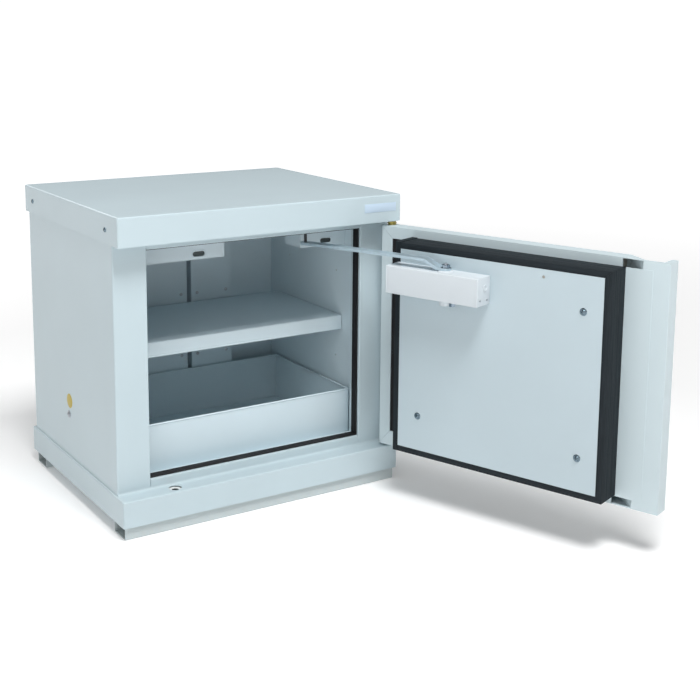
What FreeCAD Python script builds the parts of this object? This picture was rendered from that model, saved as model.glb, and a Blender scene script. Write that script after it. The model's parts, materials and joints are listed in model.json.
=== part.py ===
"""Bench-top safety cabinet for flammable liquids: insulated body, sump, shelf and a hinged fire door.

Frame: millimetres, origin on the floor at the centre of the cabinet's footprint, X to the right,
-Y towards the door side, Z up. The door's pieces are drawn in the closed position and then swung
about the hinge axis, because the cabinet is stored with its door open.
"""
import FreeCAD, Part
import math
import os
import re

import Sketcher

V = FreeCAD.Vector
doc = FreeCAD.newDocument("safety_cabinet")

# ---------------------------------------------------------------- driving dimensions
DIMENSIONS = {
    # overall shape
    "cover_width": 600, "cover_depth": 492, "cover_height": 54, "total_height": 594,
    "foot_height": 25, "base_height": 50, "sheet": 1.5, "bend": 3,
    # feet
    "foot_depth": 50, "foot_wall": 2, "foot_length": 590,
    "front_foot_y": -214, "rear_foot_y": 208, "bolt_x": 250, "bolt_y": 211, "bolt_hole": 9,
    # insulated body
    "body_width": 592, "body_front": -209, "body_back": 234, "body_roof": 578,
    "cavity_half": 250, "cavity_back": 187, "cavity_floor": 75, "cavity_roof": 530,
    "liner": 2, "frame_depth": 34,
    # door opening
    "open_left": -230.5, "open_right": 229.5, "open_bottom": 94, "open_top": 525,
    "seal_width": 19, "seal_thick": 2,
    # fittings in the cavity
    "shelf_top": 324.5, "shelf_lip": 29, "shelf_front": -113, "shelf_back": 156,
    "shelf_half": 248, "pin_hole": 5,
    "sump_half": 245, "sump_front": -147, "sump_back": 157, "sump_height": 100,
    "vent_front": -120, "vent_back": -60, "vent_bottom": 478, "vent_sheet": 1.2,
    "duct_front": 160, "slot_left": 23.5, "slot_right": 34, "duct_right": 132, "duct_sheet": 1.2,
    "spigot_outer": 75, "spigot_inner": 72, "spigot_z": 440, "spigot_end": 266,
    "guide_front": -174, "guide_back": -122, "guide_end": 176, "guide_drop": 12,
    # hinge
    "hinge_x": 288.4, "hinge_y": -233.5, "hinge_pin": 8, "bush_outer": 14, "hinge_play": 0.05,
    "door_angle": 110.1,
    # door leaf, drawn closed
    "door_right": 297.4, "door_length": 597.4, "door_inner": -211.4, "door_thick": 34.6,
    "door_bottom": 80.6, "door_top": 531.2, "grip_start": 510, "grip_end": 551, "edge_box": 12.4,
    "collarside": 26, "collartop": 23, "collarbottom": 30, "mitre_gap": 0.5,
    "plate_start": 517, "plate_end": 567, "plate_bottom": 97, "plate_top": 514.5,
    # insulating plug on the door
    "plug_start": 73, "plug_end": 517, "plug_bottom": 98.6, "plug_top": 515, "plug_depth": 57,
    "strip": 12, "panel_sheet": 1.5,
    # door closer
    "closer_start": 84, "closer_end": 280, "closer_bottom": 425, "closer_top": 477,
    "closer_depth": 45, "closer_mid": 451, "spindle_along": 199, "spindle_out": 76, "spindle": 12,
    "arm_reach": 318, "arm_width": 20, "arm_thick": 5, "arm_hub_z": 479, "arm_z": 492.5,
    "arm_angle": 3.4,
    # lock
    "lock_along": 486.4, "lock_out": -14.6, "lock_z": 160, "lock_bolt": 9, "keep_hole": 13,
    "keep_rim": 5.5,
}

sheet = doc.addObject("Spreadsheet::Sheet", "Dims")
for row, (alias, number) in enumerate(DIMENSIONS.items(), start=1):
    sheet.set(f"A{row}", alias)
    sheet.set(f"B{row}", str(number))
    sheet.setAlias(f"B{row}", alias)
doc.recompute()

ALIAS = re.compile(r"\b(" + "|".join(DIMENSIONS) + r")\b")


def formula(text):
    """Point every dimension's name in a formula at its cell in the sheet."""
    return ALIAS.sub(r"Dims.\1", str(text))


def bind(thing, path, text):
    thing.setExpression(path, formula(text))


def size(alias):
    return float(sheet.get(alias))


# ---------------------------------------------------------------- building blocks
def box(name, x, y, z):
    """Block between two corners, each side given as a (low, high) pair of formulas."""
    block = doc.addObject("Part::Box", name)
    for side, (low, high), base in zip(("Length", "Width", "Height"), (x, y, z), "xyz"):
        bind(block, side, f"({high}) - ({low})")
        bind(block, f"Placement.Base.{base}", low)
    return block


TURNS = {"X": FreeCAD.Rotation(V(0, 1, 0), 90), "Y": FreeCAD.Rotation(V(1, 0, 0), -90),
         "Z": FreeCAD.Rotation()}


def rod(name, axis, start, radius, length):
    """Cylinder from a start point along a row axis."""
    cylinder = doc.addObject("Part::Cylinder", name)
    cylinder.Placement = FreeCAD.Placement(V(), TURNS[axis])
    bind(cylinder, "Radius", radius)
    bind(cylinder, "Height", length)
    for base, text in zip("xyz", start):
        bind(cylinder, f"Placement.Base.{base}", text)
    return cylinder


def join(name, pieces):
    fused = doc.addObject("Part::MultiFuse", name)
    fused.Shapes = pieces
    return fused


def cut(name, base, tools):
    result = doc.addObject("Part::Cut", name)
    result.Base = base
    result.Tool = tools[0] if len(tools) == 1 else join(name + "_tools", tools)
    return result


def common(name, base, tool):
    result = doc.addObject("Part::Common", name)
    result.Base = base
    result.Tool = tool
    return result


def group(name, pieces):
    """Several separate solids that make one node."""
    compound = doc.addObject("Part::Compound", name)
    compound.Links = pieces
    return compound


def tube(name, axis, start, outer, inner, length):
    return cut(name, rod(name + "_outer", axis, start, outer, length),
               [rod(name + "_inner", axis, start, inner, length)])


PLANES = {"XY": "XY_Plane", "XZ": "XZ_Plane", "YZ": "YZ_Plane"}


def profile_body(name, plane, points, start, length, rounds=()):
    """PartDesign body: a closed sketch of straight edges, padded from start along the normal.

    rounds lists (point number, radius) pairs for the pad's edges that are bent or rounded off.
    """
    body = doc.addObject("PartDesign::Body", name)
    sketch = body.newObject("Sketcher::SketchObject", name + "_sketch")
    origin = [f for f in body.Origin.OriginFeatures if f.Role == PLANES[plane]][0]
    sketch.AttachmentSupport = [(origin, "")]
    sketch.MapMode = "FlatFace"
    bind(sketch, "AttachmentOffset.Base.z", start)
    count = len(points)
    rough = [V(math.cos(2 * math.pi * i / count), math.sin(2 * math.pi * i / count), 0)
             for i in range(count)]
    for i in range(count):
        sketch.addGeometry(Part.LineSegment(rough[i] * 100, rough[(i + 1) % count] * 100), False)
    for i in range(count):
        sketch.addConstraint(Sketcher.Constraint("Coincident", i, 2, (i + 1) % count, 1))
    for i, pair in enumerate(points):
        for kind, text in zip(("DistanceX", "DistanceY"), pair):
            index = sketch.addConstraint(Sketcher.Constraint(kind, -1, 1, i, 1, 1.0))
            sketch.renameConstraint(index, f"{kind}_{i}")
            bind(sketch, f"Constraints.{kind}_{i}", text)
    pad = body.newObject("PartDesign::Pad", name + "_pad")
    pad.Profile = sketch
    bind(pad, "Length", length)
    doc.recompute()
    tip = pad
    for number, (corner, radius) in enumerate(rounds):
        point = sketch.getPoint(corner, 1)
        spot = sketch.Placement.multVec(V(point.x, point.y, 0))
        normal = sketch.Placement.Rotation.multVec(V(0, 0, 1))
        edges = []
        for k, edge in enumerate(tip.Shape.Edges, start=1):
            if len(edge.Vertexes) < 2 or edge.Curve.TypeId != "Part::GeomLine":
                continue
            first, last = (v.Point for v in edge.Vertexes)
            along = (last - first).cross(normal).Length < 1e-6
            if along and (first - spot).cross(normal).Length < 1e-6:
                edges.append(f"Edge{k}")
        fillet = body.newObject("PartDesign::Fillet", f"{name}_round_{number}")
        fillet.Base = (tip, edges)
        bind(fillet, "Radius", radius)
        doc.recompute()
        tip = fillet
    body.Tip = tip
    return body


def rounded(name, base, radius, chosen):
    """Fillet the edges of a Part object for which chosen(edge) is true."""
    doc.recompute()
    fillet = doc.addObject("Part::Fillet", name)
    fillet.Base = base
    fillet.Edges = [(k, radius, radius) for k, edge in enumerate(base.Shape.Edges, start=1)
                    if chosen(edge)]
    return fillet


def runs_along(edge, axis):
    first, last = edge.Vertexes[0].Point, edge.Vertexes[-1].Point
    return (last - first).Length > 1e-6 and (last - first).cross(axis).Length < 1e-6


# Places along the closed door: distance from its hinge edge, and distance proud of its inner face.
def along(text):
    return f"door_right - ({text})"


def out(text):
    return f"door_inner + ({text})"


def door_box(name, s_range, t_range, z_range):
    return box(name, (along(s_range[1]), along(s_range[0])), (out(t_range[0]), out(t_range[1])),
               z_range)


nodes = {}


def node(name, thing, body="cabinet"):
    thing.Label = name
    nodes[name] = (thing, body)
    return thing


# ---------------------------------------------------------------- cover, base and feet
def build_cover():
    half_w, half_d = "cover_width / 2", "cover_depth / 2"
    low = "total_height - cover_height"
    block = box("cover_block", (f"-{half_w}", half_w), (f"-{half_d}", half_d), (low, "total_height"))
    top, bottom = size("total_height"), size("total_height") - size("cover_height")

    def outside(edge):
        upright = runs_along(edge, V(0, 0, 1))
        return upright or abs(edge.BoundBox.ZMin - top) < 0.01 > abs(edge.BoundBox.ZMax - top)

    shell = rounded("cover_rounded", block, size("bend"), outside)
    hollow = box("cover_hollow", (f"-{half_w} + sheet", f"{half_w} - sheet"),
                 (f"-{half_d} + sheet", f"{half_d} - sheet"), (f"{low} - 1", "total_height - sheet"))
    bores = [rod("cover_bore", "X", (f"-{half_w} - 5", str(y), "total_height - 29"), "2",
                 "cover_width + 10") for y in (-189, 198)]
    node("top_cover", cut("top_cover", shell, [hollow] + bores))
    ledge = box("ledge_plate", (f"-{half_w} + sheet", f"{half_w} - sheet"),
                (f"-{half_d} + sheet", "body_front"), (low, f"{low} + sheet"))
    pin = rod("ledge_bore", "Z", ("hinge_x", "hinge_y", f"{low} - 1"), "hinge_pin / 2", "sheet + 2")
    node("top_ledge", cut("top_ledge", ledge, [pin]))
    screws = []
    for side, shank_x, head_x in ((-1, f"-{half_w}", f"-{half_w} - 2.4"),
                                  (1, "body_width / 2", half_w)):
        for y in (-189, 198):
            shank = rod("shank", "X", (shank_x, str(y), "total_height - 29"), "2",
                        "(cover_width - body_width) / 2")
            head = rod("head", "X", (head_x, str(y), "total_height - 29"), "4.5", "2.4")
            screws.append(join("screw", [shank, head]))
    node("cover_screws", group("cover_screws", screws))


def build_base():
    half_w, half_d = "cover_width / 2", "cover_depth / 2"
    top = "foot_height + base_height"
    block = box("base_block", (f"-{half_w}", half_w), (f"-{half_d}", half_d), ("foot_height", top))

    def outside(edge):
        flat = abs(edge.BoundBox.ZMin - size("cavity_floor")) < 0.01
        return runs_along(edge, V(0, 0, 1)) or flat

    shell = rounded("base_rounded", block, size("bend"), outside)
    hollow = box("base_hollow", (f"-{half_w} + sheet", f"{half_w} - sheet"),
                 (f"-{half_d} + sheet", f"{half_d} - sheet"),
                 ("foot_height + sheet", f"{top} - sheet"))
    well = box("body_well", ("-body_width / 2", "body_width / 2"), ("body_front", "body_back"),
               ("foot_height + sheet", f"{top} + 1"))
    keep_x = along("lock_along")
    keep = rod("keep_bore", "Z", (keep_x, out("lock_out"), f"{top} - 5"), "keep_hole / 2 + keep_rim",
               "10")
    pin = rod("pin_bore", "Z", ("hinge_x", "hinge_y", f"{top} - 5"), "hinge_pin / 2", "10")
    node("base_pan", cut("base_pan", shell, [hollow, well, keep, pin]))
    # The keep's ring stands in the middle of a larger hole, on a flange under the ledge.
    ring = tube("keep_ring", "Z", (keep_x, out("lock_out"), f"{top} - 4"),
                "keep_hole / 2 + keep_rim / 2", "keep_hole / 2", "4.8")
    collar = tube("keep_flange", "Z", (keep_x, out("lock_out"), f"{top} - sheet - 3"),
                   "keep_hole / 2 + keep_rim + 3", "keep_hole / 2", "3")
    node("lock_keep", join("lock_keep", [ring, collar]))


def build_feet():
    bolts = []
    for label, place in (("front", "front_foot_y"), ("rear", "rear_foot_y")):
        low_y, high_y = f"{place} - foot_depth / 2", f"{place} + foot_depth / 2"
        block = box("foot_block", ("-foot_length / 2", "foot_length / 2"), (low_y, high_y),
                    ("0", "foot_height"))
        outer = rounded("foot_outer", block, size("foot_wall"),
                        lambda edge: runs_along(edge, V(1, 0, 0)))
        inner = box("foot_inner", ("-foot_length / 2 - 1", "foot_length / 2 + 1"),
                    (f"{low_y} + foot_wall", f"{high_y} - foot_wall"),
                    ("foot_wall", "foot_height - foot_wall"))
        sign = -1 if label == "front" else 1
        holes = [rod("foot_hole", "Z", (f"{side} * bolt_x", f"{sign} * bolt_y", "-1"),
                     "bolt_hole / 2", "foot_wall + 2") for side in (-1, 1)]
        node(f"foot_tube_{label}", cut(f"foot_tube_{label}", outer, [inner] + holes))
        for side in (-1, 1):
            head = rod("bolt_head", "Z", (f"{side} * 200", place, "foot_height - foot_wall - 4"),
                       "6.5", "4")
            bolts.append(head)
    node("foot_bolts", group("foot_bolts", bolts))


# ---------------------------------------------------------------- insulated body
def build_casing():
    half = "body_width / 2"
    low, high = "foot_height + sheet", "body_roof - sheet"
    for label, side in (("left", -1), ("right", 1)):
        x = (f"-{half}", f"-{half} + sheet") if side < 0 else (f"{half} - sheet", half)
        node(f"side_panel_{label}", box(f"side_panel_{label}", x, ("body_front + 5", "body_back"),
                                        (low, high)))
    rear = box("rear_plate", (f"-{half} + sheet", f"{half} - sheet"),
               ("body_back - sheet", "body_back"), (low, high))
    bore = rod("rear_bore", "Y", ("0", "body_back - 5", "spigot_z"), "spigot_outer / 2", "10")
    node("rear_panel", cut("rear_panel", rear, [bore]))
    node("roof_panel", box("roof_panel", (f"-{half}", half), ("body_front", "body_back"),
                           (high, "body_roof")))


def stile_points(edge, side):
    """Plan of a folded front stile: outer corner, face, reveal and the fold back to the liner."""
    half = f"{side} * body_width / 2"
    inward = -side
    thick = f"{inward} * sheet"
    wall = f"{side} * cavity_half"
    back = "body_front + frame_depth"
    return [(half, "body_front + 5"), (half, "body_front"), (edge, "body_front"), (edge, back),
            (wall, back), (wall, f"{back} - sheet"), (f"{edge} - ({thick})", f"{back} - sheet"),
            (f"{edge} - ({thick})", "body_front + sheet"), (f"{half} + {thick}", "body_front + sheet"),
            (f"{half} + {thick}", "body_front + 5")]


def build_frame():
    low, high = "foot_height + sheet", "body_roof - sheet"
    rounds = [(1, "bend"), (2, "bend - 1")]
    for label, edge, side in (("left", "open_left", -1), ("right", "open_right", 1)):
        node(f"front_stile_{label}", profile_body(f"front_stile_{label}", "XY",
             stile_points(edge, side), low, f"{high} - ({low})", rounds))
    back = "body_front + frame_depth"
    # In the YZ plane the sketch's first axis is Y and the second is Z; the pad runs along +X.
    top = [("body_front", high), ("body_front", "open_top"), (back, "open_top"),
           (back, "cavity_roof"), (f"{back} - sheet", "cavity_roof"),
           (f"{back} - sheet", "open_top + sheet"), ("body_front + sheet", "open_top + sheet"),
           ("body_front + sheet", high)]
    bottom = [("body_front", low), ("body_front", "open_bottom"), (back, "open_bottom"),
              (back, "cavity_floor"), (f"{back} - sheet", "cavity_floor"),
              (f"{back} - sheet", "open_bottom - sheet"),
              ("body_front + sheet", "open_bottom - sheet"), ("body_front + sheet", low)]
    for label, points in (("top", top), ("bottom", bottom)):
        rail = profile_body(f"rail_{label}", "YZ", points, "open_left", "open_right - open_left",
                            [(1, "bend - 1")])
        # Relief notches where the rail's fold meets the folds of the stiles.
        notches = [rod("relief_notch", "Y", (x, "body_front - 1", f"open_{label}"), "2.2", "sheet + 2")
                   for x in ("open_left", "open_right")]
        node(f"front_rail_{label}", cut(f"front_rail_{label}", rail, notches))


def build_seals():
    """Four strips that swell in a fire, on the reveal of the door opening."""
    near, far = "body_front + 6", "body_front + 6 + seal_width"
    left = box("seal_left", ("open_left", "open_left + seal_thick"), (near, far),
               ("open_bottom", "open_top"))
    right = box("seal_right", ("open_right - seal_thick", "open_right"), (near, far),
                ("open_bottom", "open_top"))
    across = ("open_left + seal_thick", "open_right - seal_thick")
    top = box("seal_top", across, (near, far), ("open_top - seal_thick", "open_top"))
    bottom = box("seal_bottom", across, (near, far), ("open_bottom", "open_bottom + seal_thick"))
    node("opening_seals", group("opening_seals", [left, right, top, bottom]))


def build_insulation():
    half = "body_width / 2 - sheet"
    low, high = "foot_height + sheet", "body_roof - sheet"
    front, back = "body_front + sheet", "body_back - sheet"
    lip_back = "body_front + frame_depth - sheet"
    wall = "cavity_half + liner"
    for label, edge, side in (("left", "open_left - sheet", -1), ("right", "open_right + sheet", 1)):
        points = [(f"{side} * ({half})", front), (edge, front), (edge, lip_back),
                  (f"{side} * ({wall})", lip_back), (f"{side} * ({wall})", back),
                  (f"{side} * ({half})", back)]
        node(f"insulation_{label}", profile_body(f"insulation_{label}", "XY", points, low,
                                                 f"{high} - ({low})"))
    across = (f"-({wall})", wall)
    lip_across = ("open_left", "open_right")
    frame_back = "body_front + frame_depth"
    for label, board_z, lip_z in (
            ("bottom", (low, "cavity_floor - liner"), (low, "open_bottom - sheet")),
            ("top", ("cavity_roof + liner", high), ("open_top + sheet", high))):
        board = box("board", across, (frame_back, "cavity_back + liner"), board_z)
        neck = box("neck", lip_across, (lip_back, frame_back), board_z)
        lip = box("lip", lip_across, (front, lip_back), lip_z)
        node(f"insulation_{label}", join(f"insulation_{label}", [board, neck, lip]))
    rear = box("rear_board", across, ("cavity_back + liner", back), (low, high))
    bore = rod("board_bore", "Y", ("0", "cavity_back", "spigot_z"), "spigot_outer / 2", "60")
    node("insulation_rear", cut("insulation_rear", rear, [bore]))


def build_liner():
    depth = ("body_front + frame_depth", "cavity_back")
    height = ("cavity_floor", "cavity_roof")
    for label, side in (("left", -1), ("right", 1)):
        x = (("-cavity_half - liner", "-cavity_half") if side < 0
             else ("cavity_half", "cavity_half + liner"))
        wall = box("liner_wall", x, depth, height)
        holes = [rod("liner_hole", "X", (f"{x[0]} - 1", str(y), z), "pin_hole / 2", "liner + 2")
                 for y in (-88, 106) for z in ("233", "416", "shelf_top - 20 - pin_hole / 2")]
        node(f"liner_{label}", cut(f"liner_{label}", wall, holes))
    rear = box("liner_back", ("-cavity_half - liner", "cavity_half + liner"),
               ("cavity_back", "cavity_back + liner"), height)
    bore = rod("liner_bore", "Y", ("0", "cavity_back - 1", "spigot_z"), "spigot_outer / 2", "10")
    node("liner_rear", cut("liner_rear", rear, [bore]))
    across = ("-cavity_half - liner", "cavity_half + liner")
    deep = ("body_front + frame_depth", "cavity_back + liner")
    node("liner_ceiling", box("liner_ceiling", across, deep, ("cavity_roof", "cavity_roof + liner")))
    node("liner_floor", box("liner_floor", across, deep, ("cavity_floor - liner", "cavity_floor")))


# ---------------------------------------------------------------- fittings in the cavity
def build_shelf():
    block = box("shelf_block", ("-shelf_half", "shelf_half"), ("shelf_front", "shelf_back"),
                ("shelf_top - shelf_lip", "shelf_top"))
    top = size("shelf_top")

    def front_bend(edge):
        on_top = abs(edge.BoundBox.ZMin - top) < 0.01
        return on_top and runs_along(edge, V(1, 0, 0))

    solid = rounded("shelf_rounded", block, size("bend") - 1, front_bend)
    hollow = box("shelf_hollow", ("-shelf_half + sheet", "shelf_half - sheet"),
                 ("shelf_front + sheet", "shelf_back - sheet"),
                 ("shelf_top - shelf_lip - 1", "shelf_top - sheet"))
    side_cut = box("shelf_side_cut", ("-shelf_half - 1", "shelf_half + 1"),
                   ("shelf_front + 8", "shelf_back + 1"),
                   ("shelf_top - shelf_lip - 1", "shelf_top - 20"))
    node("shelf", cut("shelf", solid, [hollow, side_cut]))
    pins = []
    for side in (-1, 1):
        for y in (-88, 106):
            start = "-cavity_half - liner" if side < 0 else "cavity_half + liner - 14"
            pins.append(rod("shelf_pin", "X", (start, str(y), "shelf_top - 20 - pin_hole / 2"),
                            "pin_hole / 2", "14"))
    node("shelf_pins", group("shelf_pins", pins))


def build_sump():
    top = "cavity_floor + sump_height"
    block = box("sump_block", ("-sump_half", "sump_half"), ("sump_front", "sump_back"),
                ("cavity_floor", top))
    hollow = box("sump_hollow", ("-sump_half + sheet", "sump_half - sheet"),
                 ("sump_front + sheet", "sump_back - sheet"), ("cavity_floor + sheet", f"{top} + 1"))
    node("sump_tray", cut("sump_tray", block, [hollow]))


def build_vents():
    """Two air boxes under the ceiling, each with one long round-ended hole in its front."""
    for label, x, slot_x in (("left", ("-cavity_half", "-29"), "-83.4"),
                             ("right", ("143.4", "cavity_half"), "203")):
        skin = "vent_sheet"
        outer = box("vent_outer", x, ("vent_front", "vent_back"), ("vent_bottom", "cavity_roof"))
        inner = box("vent_inner", (f"{x[0]} + {skin}", f"{x[1]} - {skin}"),
                    (f"vent_front + {skin}", f"vent_back - {skin}"),
                    (f"vent_bottom + {skin}", "cavity_roof + 1"))
        ends = [rod("slot_end", "Y", (f"{slot_x} + {shift}", "vent_front - 2", "vent_bottom + 11"),
                    "5.6", "6") for shift in (-8, 8)]
        middle = box("slot_middle", (f"{slot_x} - 8", f"{slot_x} + 8"),
                     ("vent_front - 2", "vent_front + 4"), ("vent_bottom + 5.4", "vent_bottom + 16.6"))
        node(f"vent_box_{label}", cut(f"vent_box_{label}", outer, [inner, middle] + ends))


def build_ducts():
    """Two covers on the rear wall with the extraction slot between them, and the spigot behind."""
    for label, x in (("left", ("-cavity_half", "slot_left")), ("right", ("slot_right", "duct_right"))):
        outer = box("duct_outer", x, ("duct_front", "cavity_back"), ("cavity_floor", "cavity_roof"))
        inner = box("duct_inner", (f"{x[0]} + duct_sheet", f"{x[1]} - duct_sheet"),
                    ("duct_front + duct_sheet", "cavity_back + 1"),
                    ("cavity_floor - 1", "cavity_roof + 1"))
        node(f"duct_cover_{label}", cut(f"duct_cover_{label}", outer, [inner]))
    start = ("0", "cavity_back", "spigot_z")
    pipe = tube("spigot_pipe", "Y", start, "spigot_outer / 2", "spigot_inner / 2",
                "spigot_end - cavity_back")
    rim = tube("spigot_rim", "Y", ("0", "body_back", "spigot_z"), "spigot_outer / 2 + 12",
               "spigot_inner / 2", "2")
    node("exhaust_spigot", join("exhaust_spigot", [pipe, rim]))


def build_guide():
    """Channel under the ceiling, open downwards, that the closer's roller runs in."""
    outer = box("guide_outer", ("-cavity_half", "guide_end"), ("guide_front", "guide_back"),
                ("cavity_roof - guide_drop", "cavity_roof"))
    inner = box("guide_inner", ("-cavity_half + 2", "guide_end - 2"),
                ("guide_front + 2", "guide_back - 2"),
                ("cavity_roof - guide_drop - 1", "cavity_roof - 2"))
    node("closer_guide", cut("closer_guide", outer, [inner]))


def build_earth_point():
    half = "body_width / 2"
    head = rod("earth_head", "X", (f"-{half} - 4", "31", "162.5"), "4", "3")
    washer = rod("earth_washer", "X", (f"-{half} - 1", "31", "162.5"), "6.5", "1")
    node("earth_screw", join("earth_screw", [head, washer]))


def build_hinge_pins():
    base_top = "foot_height + base_height"
    low = rod("pin_low", "Z", ("hinge_x", "hinge_y", f"{base_top} - sheet - 3"), "hinge_pin / 2",
              "sheet + 3 + 20")
    nut_low = rod("pin_nut", "Z", ("hinge_x", "hinge_y", f"{base_top} - sheet - 6"), "7", "6")
    plate = "total_height - cover_height"
    high = rod("pin_high", "Z", ("hinge_x", "hinge_y", f"{plate} - 22"), "hinge_pin / 2", "30")
    nut_high = rod("pin_top_nut", "Z", ("hinge_x", "hinge_y", f"{plate} + sheet"), "7", "6")
    node("hinge_pins", group("hinge_pins", [join("pin_below", [low, nut_low]),
                                            join("pin_above", [high, nut_high])]))


# ---------------------------------------------------------------- door leaf
def build_door_leaf():
    height = ("door_bottom", "door_top")
    block = door_box("skin_block", ("0", "grip_start"), ("-door_thick", "0"), height)
    outer_y = size("door_inner") - size("door_thick")
    edge_x = size("door_right")

    def bent(edge):
        box_ = edge.BoundBox
        on_face = abs(box_.YMax - outer_y) < 0.01
        at_hinge = abs(box_.XMin - edge_x) < 0.01
        far_end = abs(box_.XMax - (edge_x - size("grip_start"))) < 0.01
        return (on_face and not far_end) or (at_hinge and runs_along(edge, V(0, 0, 1)))

    shell = rounded("skin_rounded", block, size("bend") - 1, bent)
    hollow = door_box("skin_hollow", ("sheet", "grip_start + 1"), ("-door_thick + sheet", "1"),
                      ("door_bottom + sheet", "door_top - sheet"))
    sockets = [rod("bush_hole", "Z", ("hinge_x", "hinge_y", z), "bush_outer / 2", "10")
               for z in ("door_bottom - 5", "door_top - 5")]
    lock_bore = rod("lock_bore", "Y", (along("lock_along"), out("-door_thick - 1"), "lock_z"),
                    "9", "sheet + 2")
    bolt_bore = rod("bolt_bore", "Z", (along("lock_along"), out("lock_out"), "door_bottom - 1"),
                    "lock_bolt / 2 + 0.5", "sheet + 2")
    tray = cut("skin_tray", shell, [hollow, lock_bore, bolt_bore] + sockets)
    corner = [("grip_start", "-door_thick + 1.9"), ("grip_end - 2.5", "0"), ("grip_start", "0")]
    caps = [profile_body(f"cap_{label}", "XY", [(along(s), out(t)) for s, t in corner], z, "sheet")
            for label, z in (("low", "door_bottom"), ("high", "door_top - sheet"))]
    door_node("door_skin", join("door_skin_closed", [tray] + caps))

    back = door_box("back_plate", ("sheet", "grip_start"), ("-2 * sheet", "-sheet"),
                    ("door_bottom + sheet", "door_top - sheet"))
    door_node("door_back_sheet", back)

    core = door_box("core_block", ("sheet", "grip_start - 6"), ("-door_thick + sheet", "-2 * sheet"),
                    ("door_bottom + sheet", "door_top - sheet"))
    case_pocket = door_box("case_pocket", ("lock_along - 18", "lock_along + 19"),
                           ("-door_thick", "0"), ("door_bottom", "lock_z + 22"))
    bush_pockets = [rod("bush_pocket", "Z", ("hinge_x", "hinge_y", z), "bush_outer / 2", "24")
                    for z in ("door_bottom", "door_top - 24")]
    door_node("door_core", cut("door_core_closed", core, [case_pocket] + bush_pockets))

    bushes = []
    for label, start, rim, tall in (("low", "door_bottom", "door_bottom - 4", "4"),
                                    ("high", "door_top - 18", "door_top", "6.8")):
        sleeve = tube(f"sleeve_{label}", "Z", ("hinge_x", "hinge_y", start), "bush_outer / 2",
                      "hinge_pin / 2 + hinge_play", "18")
        collar = tube(f"collar_{label}", "Z", ("hinge_x", "hinge_y", rim), "bush_outer / 2 + 1",
                      "hinge_pin / 2 + hinge_play", tall)
        bushes.append(join(f"bush_{label}", [sleeve, collar]))
    door_node("hinge_bushes", group("hinge_bushes_closed", bushes))


def flange(name, points):
    """Flat flange with mitred ends, on the inner face of the closed door."""
    return profile_body(name, "XZ", points, "-door_inner", "sheet")


def build_inner_flanges():
    near, far = along("sheet"), along("grip_start")
    low, high = "door_bottom + sheet", "door_top - sheet"
    inner_x = along("collarside")
    inner_low, inner_high = "door_bottom + collarbottom", "door_top - collartop"
    side = flange("collarhinge", [(near, f"{low} + mitre_gap"), (near, f"{high} - mitre_gap"),
                                   (inner_x, f"{inner_high} - mitre_gap"),
                                   (inner_x, f"{inner_low} + mitre_gap")])
    top = flange("collarabove", [(near, high), (inner_x, inner_high), (far, inner_high),
                                  (far, high)])
    bottom = flange("collarbelow", [(near, low), (far, low), (far, inner_low),
                                     (inner_x, inner_low)])
    door_node("door_inner_flanges", group("door_inner_flanges_closed", [side, top, bottom]))


def build_grip():
    """Open side of the door: sloped skin, thin web and boxed edge make a full-height finger grip."""
    end = "door_length"
    face = "-door_thick"
    outline = [("grip_start", face), ("grip_end", "-2 * sheet"), (f"{end} - edge_box", "-2 * sheet"),
               (f"{end} - edge_box", face), (end, face), (end, "0"), ("grip_end - 2.5", "0"),
               ("grip_start", f"{face} + 1.9")]
    points = [(along(s), out(t)) for s, t in outline]
    solid = profile_body("grip_solid", "XY", points, "door_bottom", "door_top - door_bottom",
                         [(3, "bend - 1.5"), (4, "bend - 1"), (5, "bend - 2")])
    hollow = door_box("edge_hollow", (f"{end} - edge_box + sheet", f"{end} - sheet"),
                      ("-door_thick + sheet", "-sheet"),
                      ("door_bottom + sheet", "door_top - sheet"))
    door_node("door_grip_profile", cut("grip_closed", solid, [hollow]))
    plate = door_box("stile_plate", ("grip_start", "grip_end - 5"), ("-sheet", "0"),
                     ("plate_bottom", "plate_top"))
    overlap = door_box("stile_overlap", ("plug_end + 0.3", "plate_end"), ("0", "0.8"),
                       ("plate_bottom", "plate_top"))
    door_node("stile_cover_plate", join("stile_cover_closed", [plate, overlap]))


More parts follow.
